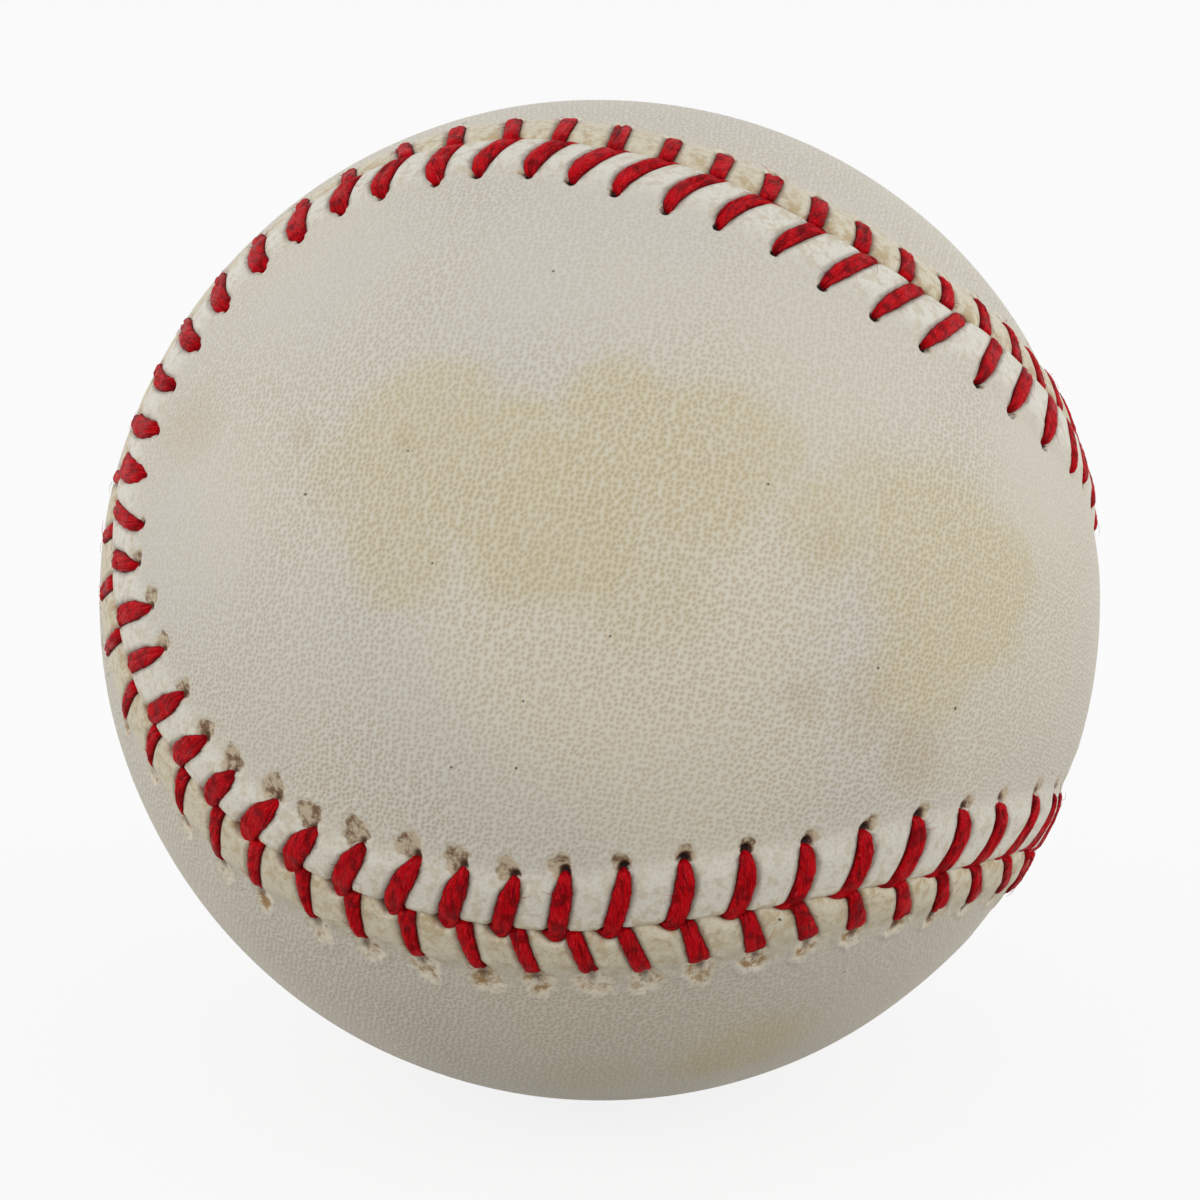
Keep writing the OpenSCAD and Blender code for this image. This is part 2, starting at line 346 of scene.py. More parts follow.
tear_strength = {
    FRONT: by_hand(
        (0, 0.7), (4, 0.8), (12, 1), (21, 0.9), (24, 0.5), (34, 0.6), (43, 0.5), (50, 0.8), (104, 0.8)
    ),
    TOP: by_hand((0, 0.7), (6, 0.85), (12, 0.95), (20, 0.9), (33, 0.5), (43, 0.5), (50, 0.8)),
}
hole_dark = {
    FRONT: by_hand(
        (0, 0.4), (3, 0.7), (4, 1), (9, 1), (11, 0.8), (14, 0.55), (19, 0.5), (23, 0.7), (26, 1), (43, 1),
        (50, 0.8), (104, 0.8)
    ),
    TOP: by_hand((0, 0.4), (3, 0.6), (5, 0.45), (8, 0.4), (33, 0.35), (43, 0.45), (50, 0.45)),
}


# The places above were read where the sewing stands at READ_H above the ball. They are brought down
# to SEWN_H along the line of sight.
READ_H = 0.45
SEWN_H = 0.1
LEAST_FACING_SEAM = 0.6
LEAST_FACING_HOLE = 0.25


def by_sight(u, v, least_facing):
    """How far along and across the seam a mark moves from where it was read when it is brought down
    to the sewn height along the line of sight. Nothing moves where the photograph shows nothing."""
    p = place(u, v, np.full(STITCHES, READ_H))
    sight = unit(EYE - p)
    along = sewing_dir(u)
    across = -np.cross(unit(p), along)
    facing = np.maximum(np.einsum("ij,ij->i", sight, unit(p)), least_facing)
    fall = (READ_H - SEWN_H) / facing * np.where(seen <= LAST_SEEN, 1, 0)
    return -fall * np.einsum("ij,ij->i", sight, along), -fall * np.einsum("ij,ij->i", sight, across)


# Along the top and the right, the front panel's holes lie nearer to the seam than they were read
hole_v[FRONT] = hole_v[FRONT] - by_hand((0, 0.1), (20, 0.1), (23, 0.7), (25, 0.7), (26, 1.2), (27, 0.9),
                                        (33, 0.9), (36, 0.5), (43, 0.5), (45, 0), (107, 0))
read_wander = seam_wander
seam_du, seam_dv = by_sight(station_u, read_wander, LEAST_FACING_SEAM)
seam_wander = read_wander + seam_dv
for panel in (FRONT, TOP):
    du, dv = by_sight(hole_u[panel], read_wander + panel * hole_v[panel], LEAST_FACING_HOLE)
    hole_u[panel] = hole_u[panel] + du
    hole_v[panel] = hole_v[panel] + panel * (dv - seam_dv)
    cross_u[panel] = cross_u[panel] + seam_du


def seam_line(u):
    """How far the sewn seam lies from its true line at u."""
    return loop_curve(seam_wander, u / PITCH - STITCH_PHASE)


def arm_line(side, k, v):
    """u of the middle line of the arm of station k at a distance v from the seam: a straight line
    from the hole to the crossing, less a parabola, and straight out over the torn leather."""
    way = 1 - np.clip(v / hole_v[side][k], 0, 1)
    line = hole_u[side][k] + (cross_u[side][k] - hole_u[side][k]) * way - 4 * bow[side][k] * way * (1 - way)
    return line + tear_u[side][k] * np.clip(v - hole_v[side][k], 0, PAST_HOLE)


def arm_half(side, k, v):
    """Half the width of that arm along the seam at v: it widens smoothly away from its hole."""
    way = 1 - np.clip(v / hole_v[side][k], 0, 1)
    return (end_w[side][k] + (arm_w[side][k] - end_w[side][k]) * smooth(way / WIDEN[side])) / 2


def ridge(v):
    """Height of the leather above the ball near the seam: a smooth rise that stays up to the edge."""
    return RIDGE_H * smooth((RIDGE_FOOT_V - v) / (RIDGE_FOOT_V - RIDGE_TOP_V))


def pressed_in(u, v):
    """How far the surface is pressed in at u and v, where v is negative on the top panel's side."""
    front, top = (loop_curve(pressed[side], u / PITCH - STITCH_PHASE) for side in (FRONT, TOP))
    share_of_top = smooth(0.5 - v / PRESSED_BLEND)
    return (front + (top - front) * share_of_top) * smooth((PRESSED_W - np.abs(v)) / PRESSED_FADE)


def lumps(p):
    """Slow unevenness of the cover, in millimetres: three crossed waves over the ball."""
    x, y, z = np.moveaxis(p / BALL_R, -1, 0)
    return (0.035 * np.sin(7 * x + 4 * y + 1) * np.sin(6 * y - 3 * z)
            + 0.03 * np.sin(9 * z - 5 * x + 2) * np.sin(8 * x + 6 * z + 0.5)
            + 0.02 * np.sin(15 * y + 11 * x) * np.sin(13 * z - 9 * y + 4))


def grain_map(side, points):
    """Flat coordinates in millimetres for the leather's grain: each point lies as far from the
    middle of its lobe as it does on the ball. The two lobes are mirrored, and meet in the waist."""
    d = unit(points) @ LYING
    lobe, other = (1, 0) if side == FRONT else (0, 1)
    angle = np.arccos(np.clip(np.abs(d[:, lobe]), 0, 1))
    spread = BALL_R * angle / np.maximum(np.sin(angle), 1e-6)
    return np.stack([spread * d[:, other], spread * d[:, 2], np.zeros(len(d))], 1)


# Meshes

def in_scene(name, data):
    """A new object of that name and data in the scene."""
    made = bpy.data.objects.new(name, data)
    bpy.context.scene.collection.objects.link(made)
    return made


def bridge(a, b):
    """Triangles between two closed rings of vertex numbers. One ring may have twice the other's."""
    a2, b2 = np.roll(a, -1), np.roll(b, -1)
    if len(a) == len(b):
        corners = (a, a2, b2), (a, b2, b)
    elif len(a) > len(b):
        even, odd, after = a[0::2], a[1::2], np.roll(a, -2)[0::2]
        corners = (even, odd, b), (odd, b2, b), (odd, after, b2)
    else:
        even, odd, after = b[0::2], b[1::2], np.roll(b, -2)[0::2]
        corners = (a, a2, odd), (a, odd, even), (a2, after, odd)
    return np.concatenate([np.stack(c, 1) for c in corners])


# The construction model's node that each new piece stands for
STANDS_FOR = {
    "leather_panel_front": "cover_panel_front",
    "leather_panel_top": "cover_panel_top",
    "waxed_thread_one": "stitch_thread_one",
    "waxed_thread_two": "stitch_thread_two",
}


def make_piece(name, points, triangles, slot, material, replaced, **values):
    """A smooth closed mesh of millimetre points, turned so that its faces point outwards, with a
    named value at each point for its material. It rides on the ball and stands for a CAD node."""
    corners = points[triangles]
    if np.einsum("ij,ij->i", corners[:, 0], np.cross(corners[:, 1], corners[:, 2])).sum() < 0:
        triangles = triangles[:, ::-1]
    mesh = bpy.data.meshes.new(name)
    mesh.vertices.add(len(points))
    mesh.vertices.foreach_set("co", (points * MM).astype(np.float32).ravel())
    mesh.loops.add(triangles.size)
    mesh.loops.foreach_set("vertex_index", triangles.astype(np.int32).ravel())
    mesh.polygons.add(len(triangles))
    mesh.polygons.foreach_set("loop_start", np.arange(0, triangles.size, 3, dtype=np.int32))
    mesh.polygons.foreach_set("use_smooth", np.ones(len(triangles), bool))
    mesh.update(calc_edges=True)
    for label, value in values.items():
        kind, field = ("FLOAT", "value") if value.ndim == 1 else ("FLOAT_VECTOR", "vector")
        data = mesh.attributes.new(label, kind, "POINT").data
        data.foreach_set(field, value.astype(np.float32).ravel())
    piece = in_scene(name, mesh)
    mesh.materials.append(material)
    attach(piece, "root")
    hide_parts(*replaced)


# Cover panels

# Each point of a panel has four values for the leather's material: how torn it is, how deep in a
# hole it lies, its distance from the edge, and how near it is to a crease beside an arm or at the
# rolled edge, which gets painted shade and grime
PLAIN = (0.0, 0.0, 20.0, 0.0)
# The rolled edge takes half the crease's painted shade and grime
ROUND_EDGE = (0.0, 0.0, 0.0, 0.5)

# A panel has columns across the seam, and rows at these distances from its edge
COLUMNS_PER_STITCH = 16
COLUMNS = COLUMNS_PER_STITCH * STITCHES
COLUMN_CROWDING = 0.35
EDGE_ROWS = np.array([0, 0.04, 0.1, 0.18, 0.28, 0.4, 0.54, 0.7, 0.88])
NEAR_ROWS = np.r_[EDGE_ROWS, np.arange(1.06, 6.3, 0.17), 6.6, 7, FINE_W]
EVEN_FROM_V = 5.4
HALF_RING_V = 8.2
SPINE_START_V = 9.2
SPINE_ROWS = 12
LOBE_REACH = 11.5
UNDER_EDGE_V = 0.9
UNDER_ROWS = (
    (1.6, LEATHER_UNDER), (3.2, LEATHER_UNDER), (MARGIN_W, LEATHER_UNDER),
    (MARGIN_W + 0.2, LEATHER_INSIDE), (SPINE_START_V, LEATHER_INSIDE)
)

# The torn hollow beyond a hole, and the hole
RIM_H = {FRONT: 0.06, TOP: 0.13}
HOLE_LONG = {FRONT: 0.46, TOP: 0.8}
TORN_DEPTH = 0.13
HOLE_DEPTH = 0.4


def column_stations(count):
    """Each column's station, and its share of the way to the next, drawn closer at the arms."""
    at = np.arange(count) * STITCHES / count
    k = np.floor(at).astype(int)
    f = at - k
    return k, f - COLUMN_CROWDING * np.sin(2 * math.pi * f) / (2 * math.pi)


def column_u(side, count, v):
    """u of each column at a distance v: between the arms' lines near the seam, and even far from it."""
    k, w = column_stations(count)
    after = (k + 1) % STITCHES
    wrap = np.where(after == 0, SEAM_LEN, 0)
    sewn = (1 - w) * arm_line(side, k, v) + w * (arm_line(side, after, v) + wrap)
    even = (np.arange(count) * STITCHES / count + STITCH_PHASE) * PITCH
    far = smooth((v - EVEN_FROM_V) / (SPINE_START_V - EVEN_FROM_V))
    return (1 - far) * sewn + far * even


def tear(side, k, du, dv):
    """Depth of the torn leather at station k, and its masks, at du along the seam from the hole and
    dv outwards: a ragged oval crater with a raised rim, and a narrow hole at its near end."""
    along = du - tear_u[side][k]
    out = dv - tear_v[side][k]
    round_it = np.arctan2(out, along)
    ragged = 1 + 0.12 * np.sin(3 * round_it + k * 2.4) + 0.08 * np.sin(7 * round_it + k * 5.1)
    crater = np.hypot(along / tear_w[side][k], out / tear_tall[side][k]) / ragged
    long = HOLE_LONG[side]
    core = np.hypot((du + 0.05) / 0.36, (dv - long * 0.55) / long)
    torn = smooth((1.4 - crater) / 0.9) * tear_strength[side][k]
    hole = smooth((1.9 - core) / 1.6) * hole_dark[side][k]
    rim = np.exp(-((crater - 1.3) / 0.25) ** 2) * tear_strength[side][k]
    return torn * TORN_DEPTH + hole ** 2 * HOLE_DEPTH - rim * RIM_H[side], torn, hole


def panel_surface(side, v_grid):
    """One row of the panel's outer surface at v_grid from its edge: the ridge, the pillows between
    the arms, the rounded and scalloped edge, and the torn holes."""
    k, w = column_stations(COLUMNS)
    after = (k + 1) % STITCHES
    swell = np.sin(math.pi * w) ** 0.55
    at_edge = column_u(side, COLUMNS, np.full(COLUMNS, v_grid))
    around = [(k + j) % STITCHES for j in (-1, 0, 1)]
    wraps = [(k + j) // STITCHES * SEAM_LEN for j in (-1, 0, 1)]
    if side == FRONT:
        pull = EDGE_SCALLOP * (1 - swell)
    else:
        feet = []
        for i, more in zip(around, wraps):
            far = np.abs(at_edge - cross_u[FRONT][i] - toe[i] * 0.35 - more) / (0.45 + toe[i] * 0.45)
            feet.append((foot_v[i] + 0.1) * np.exp(-far ** 4))
        pull = np.max(feet, axis=0)
    v = v_grid + pull * np.clip(1 - v_grid / 2, 0, 1) ** 2
    u = column_u(side, COLUMNS, v)
    reach = (1 - w) * hole_v[side][k] + w * hole_v[side][after]
    nearest = np.where(w < 0.5, k, after)
    wrap = np.where((w >= 0.5) & (after == 0), SEAM_LEN, 0)
    from_arm = np.abs(u - wrap - arm_line(side, nearest, v)) - arm_half(side, nearest, v)
    shoulder = smooth((from_arm + 0.22) / GROOVE_SLOPE)
    lift = smooth((reach + 0.7 - v) / 2)
    h = ridge(v) + lift * shoulder * (PILLOW_H + PILLOW_CROWN * swell)
    roll = np.clip(1 - v_grid / EDGE_ROUND[side], 0, 1)
    h = h - EDGE_DROP[side] * (1 - np.sqrt(1 - roll ** 2))
    depth, torn, hole = tear(side, nearest, u - wrap - hole_u[side][nearest], v - hole_v[side][nearest])
    # Painted shade and grime in the crease beside each arm
    crease = np.exp(-(from_arm / 0.2) ** 2) * smooth((reach + 0.3 - v) / 0.6)
    return u, v, h - depth - pressed_in(u, side * v), np.stack([torn, hole, v, crease], 1)


def make_panel(name, side, material):
    """A closed sheet of leather: rings of columns from the middle of the outside to the edge, over
    it, and back along the inside. Rings far from the seam have a quarter of the columns."""
    rings, points, masks = [], [], []

    def add_ring(p, values=PLAIN):
        start = sum(len(r) for r in rings)
        rings.append(np.arange(start, start + len(p)))
        points.append(p)
        masks.append(np.broadcast_to(values, (len(p), 4)))

    def plain_ring(count, v, h):
        u = column_u(side, count, v)
        return place(u, seam_line(u) + side * v, np.full(count, float(h)))

    def lifted(p, h):
        direction = unit(p)
        uneven = lumps(direction * BALL_R) if h > -0.1 else np.zeros(len(p))
        return direction * (BALL_R + h + uneven)[:, None]

    quarter = COLUMNS // 4
    rim = plain_ring(quarter, np.full(quarter, SPINE_START_V), 0)
    tip_t = math.pi if side == FRONT else 0
    tip_u = SEAM_LEN - np.interp(tip_t, SEAM_T, SEAM_RUN)
    tip = int(round((tip_u / PITCH - STITCH_PHASE) * quarter / STITCHES))
    steps = np.arange(quarter // 2 + 1)
    middle = unit(unit(rim[(tip + steps) % quarter]) + unit(rim[(tip - steps) % quarter]))
    across = middle[quarter // 4]
    along = unit(middle[0] - (middle[0] @ across) * across)
    reach = np.arctan2(middle @ along, middle @ across)
    limit = reach[0] - LOBE_REACH / BALL_R
    reach = np.clip(reach, -limit, limit)
    spine_points = np.outer(np.sin(reach), along) + np.outer(np.cos(reach), across)
    far_from_tip = np.abs((np.arange(quarter) - tip + quarter // 2) % quarter - quarter // 2)
    first = int(np.sum(reach >= limit - 1e-9)) - 1
    last = int(len(steps) - np.sum(reach <= -limit + 1e-9))
    spine_number = np.clip(far_from_tip, first, last) - first

    def spine_ring(share, h):
        spine_here = spine_points[np.clip(far_from_tip, first, last)]
        return lifted((1 - share) * unit(rim) + share * spine_here, h)

    for share in np.linspace(1, 0, SPINE_ROWS + 1)[1:]:
        add_ring(spine_ring(share, 0))
    half = COLUMNS // 2
    p = plain_ring(half, np.full(half, HALF_RING_V), 0)
    add_ring(lifted(p, 0))
    for v_grid in NEAR_ROWS[::-1]:
        u, v, h, values = panel_surface(side, v_grid)
        p = place(u, seam_line(u) + side * v, h)
        add_ring(p + unit(p) * (lumps(p) * smooth((v - 3) / 3))[:, None], values)
    for share in (0.5, 1):
        add_ring(place(u, seam_line(u) + side * v, (1 - share) * h + share * LEATHER_UNDER), ROUND_EDGE)
    add_ring(plain_ring(half, np.full(half, UNDER_EDGE_V), LEATHER_UNDER))
    for v, h in UNDER_ROWS:
        add_ring(plain_ring(quarter, np.full(quarter, v), h))
    for share in (0.25, 0.5, 0.75):
        add_ring(spine_ring(share, LEATHER_INSIDE))
    count = sum(len(r) for r in rings)
    spines = []
    for h in (0, LEATHER_INSIDE):
        spines.append(count + np.arange(last - first + 1))
        points.append(lifted(spine_points[first:last + 1], h))
        masks.append(np.broadcast_to(PLAIN, (last - first + 1, 4)))
        count += last - first + 1
    bands = [bridge(a, b) for a, b in zip(rings[:-1], rings[1:])]
    bands.append(bridge(spines[0][spine_number], rings[0]))
    bands.append(bridge(rings[-1], spines[1][spine_number]))
    triangles = np.concatenate(bands)
    whole = (triangles != np.roll(triangles, -1, axis=1)).all(1)
    masks = np.concatenate(masks)
    points = np.concatenate(points)
    make_piece(name, points, triangles[whole], "leather", material, [STANDS_FOR[name]],
               grain=grain_map(side, points),
               torn=masks[:, 0], hole=masks[:, 1], margin=masks[:, 2], crease=masks[:, 3])


# Strands

RING_POINTS = 18
HAIRS_PER_STITCH = 3
HAIR_R = 0.019
HAIR_H = 0.5
HAIR_ARCH = 0.16
HAIR_RINGS = 6
FIBRE_LEAN = 0.28
GROOVE_W = 0.17

# How many rings are drawn from each of a stitch's eleven controls to the next
SAMPLES = (2, 2, 3, 5, 6, 6, 5, 5, 4, 4, 2)

# The controls over the leather: their share of the way from the hole to the seam, their height
# above the leather and their thickness
ARM_SHARES = (0.03, 0.15, 0.36, 0.62, 0.86)
ARM_HEIGHTS = (0.0, 0.13, 0.17, 0.17, 0.15)
ARM_THICKNESS = (0.5, 0.64, 0.68, 0.66, 0.6)

# The foot of an arm goes down under the other panel. Each row has its share of the toe's reach, its
# place across the seam and the share of the foot's depth taken off it, its height for a front and
# for a top arm, its share of the arm's width, its thickness, and a front arm's turn
FOOT_ROWS = (
    (0.06, 0.45, 0.9, RIDGE_H - 0.05, RIDGE_H - 0.05, 0.92, 0.5, 0.7),
    (0.5, 0.2, 0.75, 0.05, -0.3, 0.62, 0.42, 1.15),
    (0.95, 0.0, 0.5, -0.35, -0.8, 0.3, 0.34, 1.4),
)
TOP_TOE = 0.25
TOP_FOOT_V = 0.1
TOP_FOOT_TURN = 0.1


def of_side(side, values, k):
    """The value of each station k on its own side."""
    return np.where(side == FRONT, values[FRONT][k], values[TOP][k])


def arm_at(side, k, v):
    """Middle line and half width at v of the arm of each station k on its own side."""
    middle = np.where(side == FRONT, arm_line(FRONT, k, v), arm_line(TOP, k, v))
    return middle, np.where(side == FRONT, arm_half(FRONT, k, v), arm_half(TOP, k, v))


def strand_controls(first_side):
    """Eleven rings for each stitch: up through the hole, over the leather to the seam, and round the
    foot under the other panel. Each has u, v, height, width, thickness and its turn forwards."""
    k = np.arange(STITCHES)
    side = np.where(k % 2 == 0, first_side, -first_side)
    reach, hole, cross = (of_side(side, values, k) for values in (hole_v, hole_u, cross_u))
    turn = np.arctan((cross - hole) / reach)
    upright = np.cos(turn)
    rows = [(hole, reach - 0.3, THREAD_UNDER_H, 0.5, 0.36, turn),
            (hole, reach - 0.12, -0.45, of_side(side, end_w, k) * 0.8 * upright, 0.5, turn)]
    for share, h, thick in zip(ARM_SHARES, ARM_HEIGHTS, ARM_THICKNESS):
        v = reach * (1 - share)
        u, half = arm_at(side, k, v)
        rows.append((u, v, ridge(v) + h, half * 2 * upright, thick, turn))
    front = side == FRONT
    reach_on = np.where(front, toe, TOP_TOE)
    depth = np.where(front, foot_v, TOP_FOOT_V)
    w = of_side(side, arm_w, k) * upright
    for ahead, across, sunk, front_h, top_h, share, thick, front_turn in FOOT_ROWS:
        rows.append((cross + ahead * reach_on, across - depth * sunk, np.where(front, front_h, top_h),
                     w * share, thick, np.where(front, front_turn, TOP_FOOT_TURN)))
    rows.append((cross + reach_on + 0.3, -1.2, THREAD_UNDER_H, 0.5, 0.34,
                 np.where(front, 0.8, TOP_FOOT_TURN)))
    whole = [[np.broadcast_to(x, STITCHES) for x in row] for row in rows]
    controls = np.stack([np.stack(row, 1) for row in whole], 1)
    controls[:, :, 1] *= side[:, None]
    controls[:, :, 5] *= side[:, None]
    return controls.reshape(-1, 6)


def carried(values, at, whole):
    """A Catmull-Rom curve like loop_curve's through values that grow by whole in each round."""
    longer = np.concatenate([values[-1:] - whole, values, values[:2] + whole])
    i = np.floor(at).astype(int)
    return between(*(longer[i + j] for j in range(4)), at - i)


def loose_hairs(first_side):
    """Fibres that stand off the sides of the arms: thin three-sided tubes that taper along an arc,
    which leaves the arm sideways, bends along it and ends a little above the leather."""
    rng = np.random.default_rng(20 + first_side)
    k = np.repeat(np.arange(STITCHES), HAIRS_PER_STITCH)
    count = len(k)
    side = np.where(k % 2 == 0, first_side, -first_side)
    share = rng.uniform(0.02, 0.98, count)
    v = of_side(side, hole_v, k) * (1 - share)
    line, half = arm_at(side, k, v)
    beside = rng.choice((-1, 1), count)
    length = rng.uniform(0.25, 0.95, count)
    lean = rng.normal(0, 0.8, count)
    curl = rng.normal(0, 0.5, count)
    t = np.linspace(0, 1, HAIR_RINGS)[None]
    u = (line + beside * half * 0.7)[:, None] + (beside * length * np.cos(lean))[:, None] * t
    v = v[:, None] + (length * np.sin(lean))[:, None] * t + curl[:, None] * t ** 2
    h = HAIR_H + HAIR_ARCH * np.sin(math.pi * t) * rng.uniform(0.2, 1, count)[:, None]
    u, v, h = u.ravel(), (side[:, None] * v).ravel(), h.ravel()
    middle = place(u, seam_line(u) + v, h - pressed_in(u, v)).reshape(count, HAIR_RINGS, 3)
    way = unit(np.gradient(middle, axis=1))
    up = unit(middle)
    across = unit(np.cross(way, up))
    up = np.cross(across, way)
    radius = HAIR_R * (1 - 0.6 * t[..., None])
    around = [np.cos(a) * across + np.sin(a) * up for a in (0, 2 * math.pi / 3, 4 * math.pi / 3)]
    points = np.stack([middle + radius * a for a in around], 2)
    numbers = np.arange(points.size // 3).reshape(count, HAIR_RINGS, 3)
    a, b = numbers[:, :-1], numbers[:, 1:]
    a2, b2 = np.roll(a, -1, 2), np.roll(b, -1, 2)
    sides = [np.stack(corners, -1).reshape(-1, 3) for corners in ((a, b2, a2), (a, b, b2))]
    caps = [numbers[:, 0], numbers[:, -1, ::-1]]
    fibre = np.stack([rng.uniform(0, 50, count), np.full(count, 0.4), rng.uniform(0, 50, count)], 1)
    return points.reshape(-1, 3), np.concatenate(sides + caps), np.repeat(fibre, HAIR_RINGS * 3, axis=0)


def make_strand(name, first_side, material):
    """A closed loop of rings carried along the strand's own line. Each ring is a flattened oval
    with a groove where its two plies meet, and the groove wanders as the plies turn."""
    controls = strand_controls(first_side)
    at = np.concatenate([i + np.arange(n) / n for i, n in enumerate(SAMPLES)])
    at = (np.arange(STITCHES)[:, None] * len(SAMPLES) + at).ravel()
    rings = loop_curve(controls[:, 1:], at)
    u = carried(controls[:, 0], at, SEAM_LEN)
    middle = place(u, seam_line(u) + rings[:, 0], rings[:, 1] - pressed_in(u, rings[:, 0]))
    way = unit(np.roll(middle, -1, 0) - np.roll(middle, 1, 0))
    along = sewing_dir(u)
    across = -np.cross(unit(middle), along)
    flat = along * np.cos(rings[:, 4:5]) + across * np.sin(rings[:, 4:5])
    wide = unit(flat - np.einsum("ij,ij->i", flat, way)[:, None] * way)
    thick = np.cross(way, wide)
    run = np.r_[0, np.cumsum(np.linalg.norm(np.diff(middle, axis=0), axis=1))]
    angle = np.arange(RING_POINTS) * 2 * math.pi / RING_POINTS
    x = np.sign(np.cos(angle)) * np.abs(np.cos(angle)) ** 0.85
    y = np.sign(np.sin(angle)) * np.abs(np.sin(angle)) ** 0.8
    station = at / len(SAMPLES)
    twist = loop_curve(sewing_rng.normal(0, 0.28, STITCHES * 3), station * 3)
    depth = loop_curve(sewing_rng.uniform(0.3, 0.65, STITCHES), station)
    groove = 1 - depth[:, None] * np.exp(-((x[None] - twist[:, None]) / GROOVE_W) ** 2)
    rough = (1 + 0.035 * np.sin(run[:, None] * 5.3 + 9 * x[None])
             + 0.03 * np.sin(run[:, None] * 11.7 - 14 * x[None]))
    beside = x[None] * rings[:, 2:3] / 2 * rough
    up = y[None] * rings[:, 3:4] / 2 * groove * rough
    points = middle[:, None] + beside[..., None] * wide[:, None] + up[..., None] * thick[:, None]
    numbers = np.arange(len(middle) * RING_POINTS).reshape(-1, RING_POINTS)
    after, next_one = np.roll(numbers, -1, 0), np.roll(numbers, -1, 1)
    both = np.roll(after, -1, 1)
    corners = (numbers, next_one, both), (numbers, both, after)
    triangles = np.concatenate([np.stack(c, -1) for c in corners])
    lean = beside + FIBRE_LEAN * run[:, None]
    fibre = np.stack([lean, up, np.broadcast_to(run[:, None], beside.shape)], -1).reshape(-1, 3)
    points, triangles = points.reshape(-1, 3), triangles.reshape(-1, 3)
    hair_points, hair_triangles, hair_fibre = loose_hairs(first_side)
    triangles = np.concatenate([triangles, hair_triangles + len(points)])
    points = np.concatenate([points, hair_points])
    make_piece(name, points, triangles, "thread", material, [STANDS_FOR[name]],
               fibre=np.concatenate([fibre, hair_fibre]))


# Materials

class Paint:
    """Builds the nodes of a material or a world: each call adds a node, and sockets given as values
    are linked."""

    def __init__(self, owner):
        owner.use_nodes = True
        self.owner = owner
        self.tree = owner.node_tree

    def node(self, kind, values=(), out=0, **settings):
        """A new node's output, or the node itself where out is None."""
        made = self.tree.nodes.new("ShaderNode" + kind)
        for key, value in settings.items():
            setattr(made, key, value)
        for key, value in dict(values).items():
            self.put(made.inputs[key], value)
        return made if out is None else made.outputs[out]

    def put(self, socket, value):
        """Links an output to the socket, or sets the socket to a number or colour."""
        if isinstance(value, bpy.types.NodeSocket):
            self.tree.links.new(value, socket)
        else:
            socket.default_value = value

    def finish(self, **values):
        """Sets the inputs of the material's shader, and returns the material."""
        for key, value in values.items():
            self.put(self.tree.nodes["Principled BSDF"].inputs[key.replace("_", " ")], value)
        return self.owner

    def place(self):
        """Where each point lies, in metres."""
        return self.node("TexCoord", out="Object")

    def value(self, label):
        """One of the named values that the mesh carries."""
        return self.node("Attribute", attribute_name=label, out="Fac")

    def math(self, operation, a, b=0.0, c=0.0):
        return self.node("Math", {0: a, 1: b, 2: c}, operation=operation)

    def step(self, value, low, high, to_low=0.0, to_high=1.0):
        """to_low below low, to_high above high, and a smooth step between."""
        values = {"Value": value, "From Min": low, "From Max": high, "To Min": to_low, "To Max": to_high}
        return self.node("MapRange", values, interpolation_type="SMOOTHSTEP")

    def noise(self, where, scale, detail=2.0, roughness=0.5, out="Fac"):
        values = {"Vector": where, "Scale": scale, "Detail": detail, "Roughness": roughness}
        return self.node("TexNoise", values, out=out)

    def cells(self, where, scale, randomness=1.0, out="Distance", **settings):
        values = {"Vector": where, "Scale": scale, "Randomness": randomness}
        return self.node("TexVoronoi", values, out=out, **settings)

    def vector(self, operation, *values, out="Vector"):
        """A sum on vectors. The result is a vector, or a number where out is Value."""
        return self.node("VectorMath", enumerate(values), operation=operation, out=out)

    def stretched(self, where, scale):
        """Places multiplied along each axis."""
        return self.node("Mapping", {"Vector": where, "Scale": scale}, out="Vector")

    def mix(self, share, a, b):
        """Colour a, with b over it by share."""
        made = self.tree.nodes.new("ShaderNodeMix")
        made.data_type = "RGBA"
        self.put(made.inputs["Factor"], share)
        self.put(made.inputs["A"], a)
        self.put(made.inputs["B"], b)
        return made.outputs["Result"]

    def bump(self, height, distance):
        """The shading of a relief, whose height of one is that distance in metres."""
        return self.node("Bump", {"Height": height, "Distance": distance}, out="Normal")

    def moved(self, where, size, scale):
        """Places shifted by a smooth noise of that size, in metres."""
        drift = self.noise(where, scale, 1.0, out="Color")
        centred = self.vector("SUBTRACT", drift, (0.5, 0.5, 0.5))
        return self.vector("MULTIPLY_ADD", centred, (size, size, size), where)


def colour(red, green, blue):
    """A colour given as the eye reads it, from 0 to 255, as linear light."""
    def linear(c):
        c = c / 255
        return c / 12.92 if c <= 0.04045 else ((c + 0.055) / 1.055) ** 2.4
    return (linear(red), linear(green), linear(blue), 1.0)


def seen_at(x, y):
    """The point of the ball, in metres, that the photograph shows at pixel x, y: the near end of
    the line of sight through the ball."""
    look = unit(-EYE)
    right = np.array([1.0, 0, 0])
    up = np.cross(right, look)
    aside = (x - PHOTO_CENTRE[0]) / PHOTO_FOCAL
    below = (y - PHOTO_CENTRE[1]) / PHOTO_FOCAL
    ray = unit(look + right * aside - up * below)
    half = EYE @ ray
    reach = -half - math.sqrt(max(half * half - EYE @ EYE + BALL_R ** 2, 0))
    return tuple((EYE + ray * reach) * MM)


def blot(paint, where, x, y, radius, soft):
    """1 inside a round patch of that radius in millimetres about a seen pixel, fading over soft."""
    away = paint.vector("DISTANCE", where, seen_at(x, y), out="Value")
    return paint.step(away, radius * MM, (radius - soft) * MM)


def blots(paint, where, patches):
    """The strongest of several patches at each point."""
    found = None
    for x, y, radius, soft, strength in patches:
        one = paint.math("MULTIPLY", blot(paint, where, x, y, radius, soft), strength)
        found = one if found is None else paint.math("MAXIMUM", found, one)
    return found
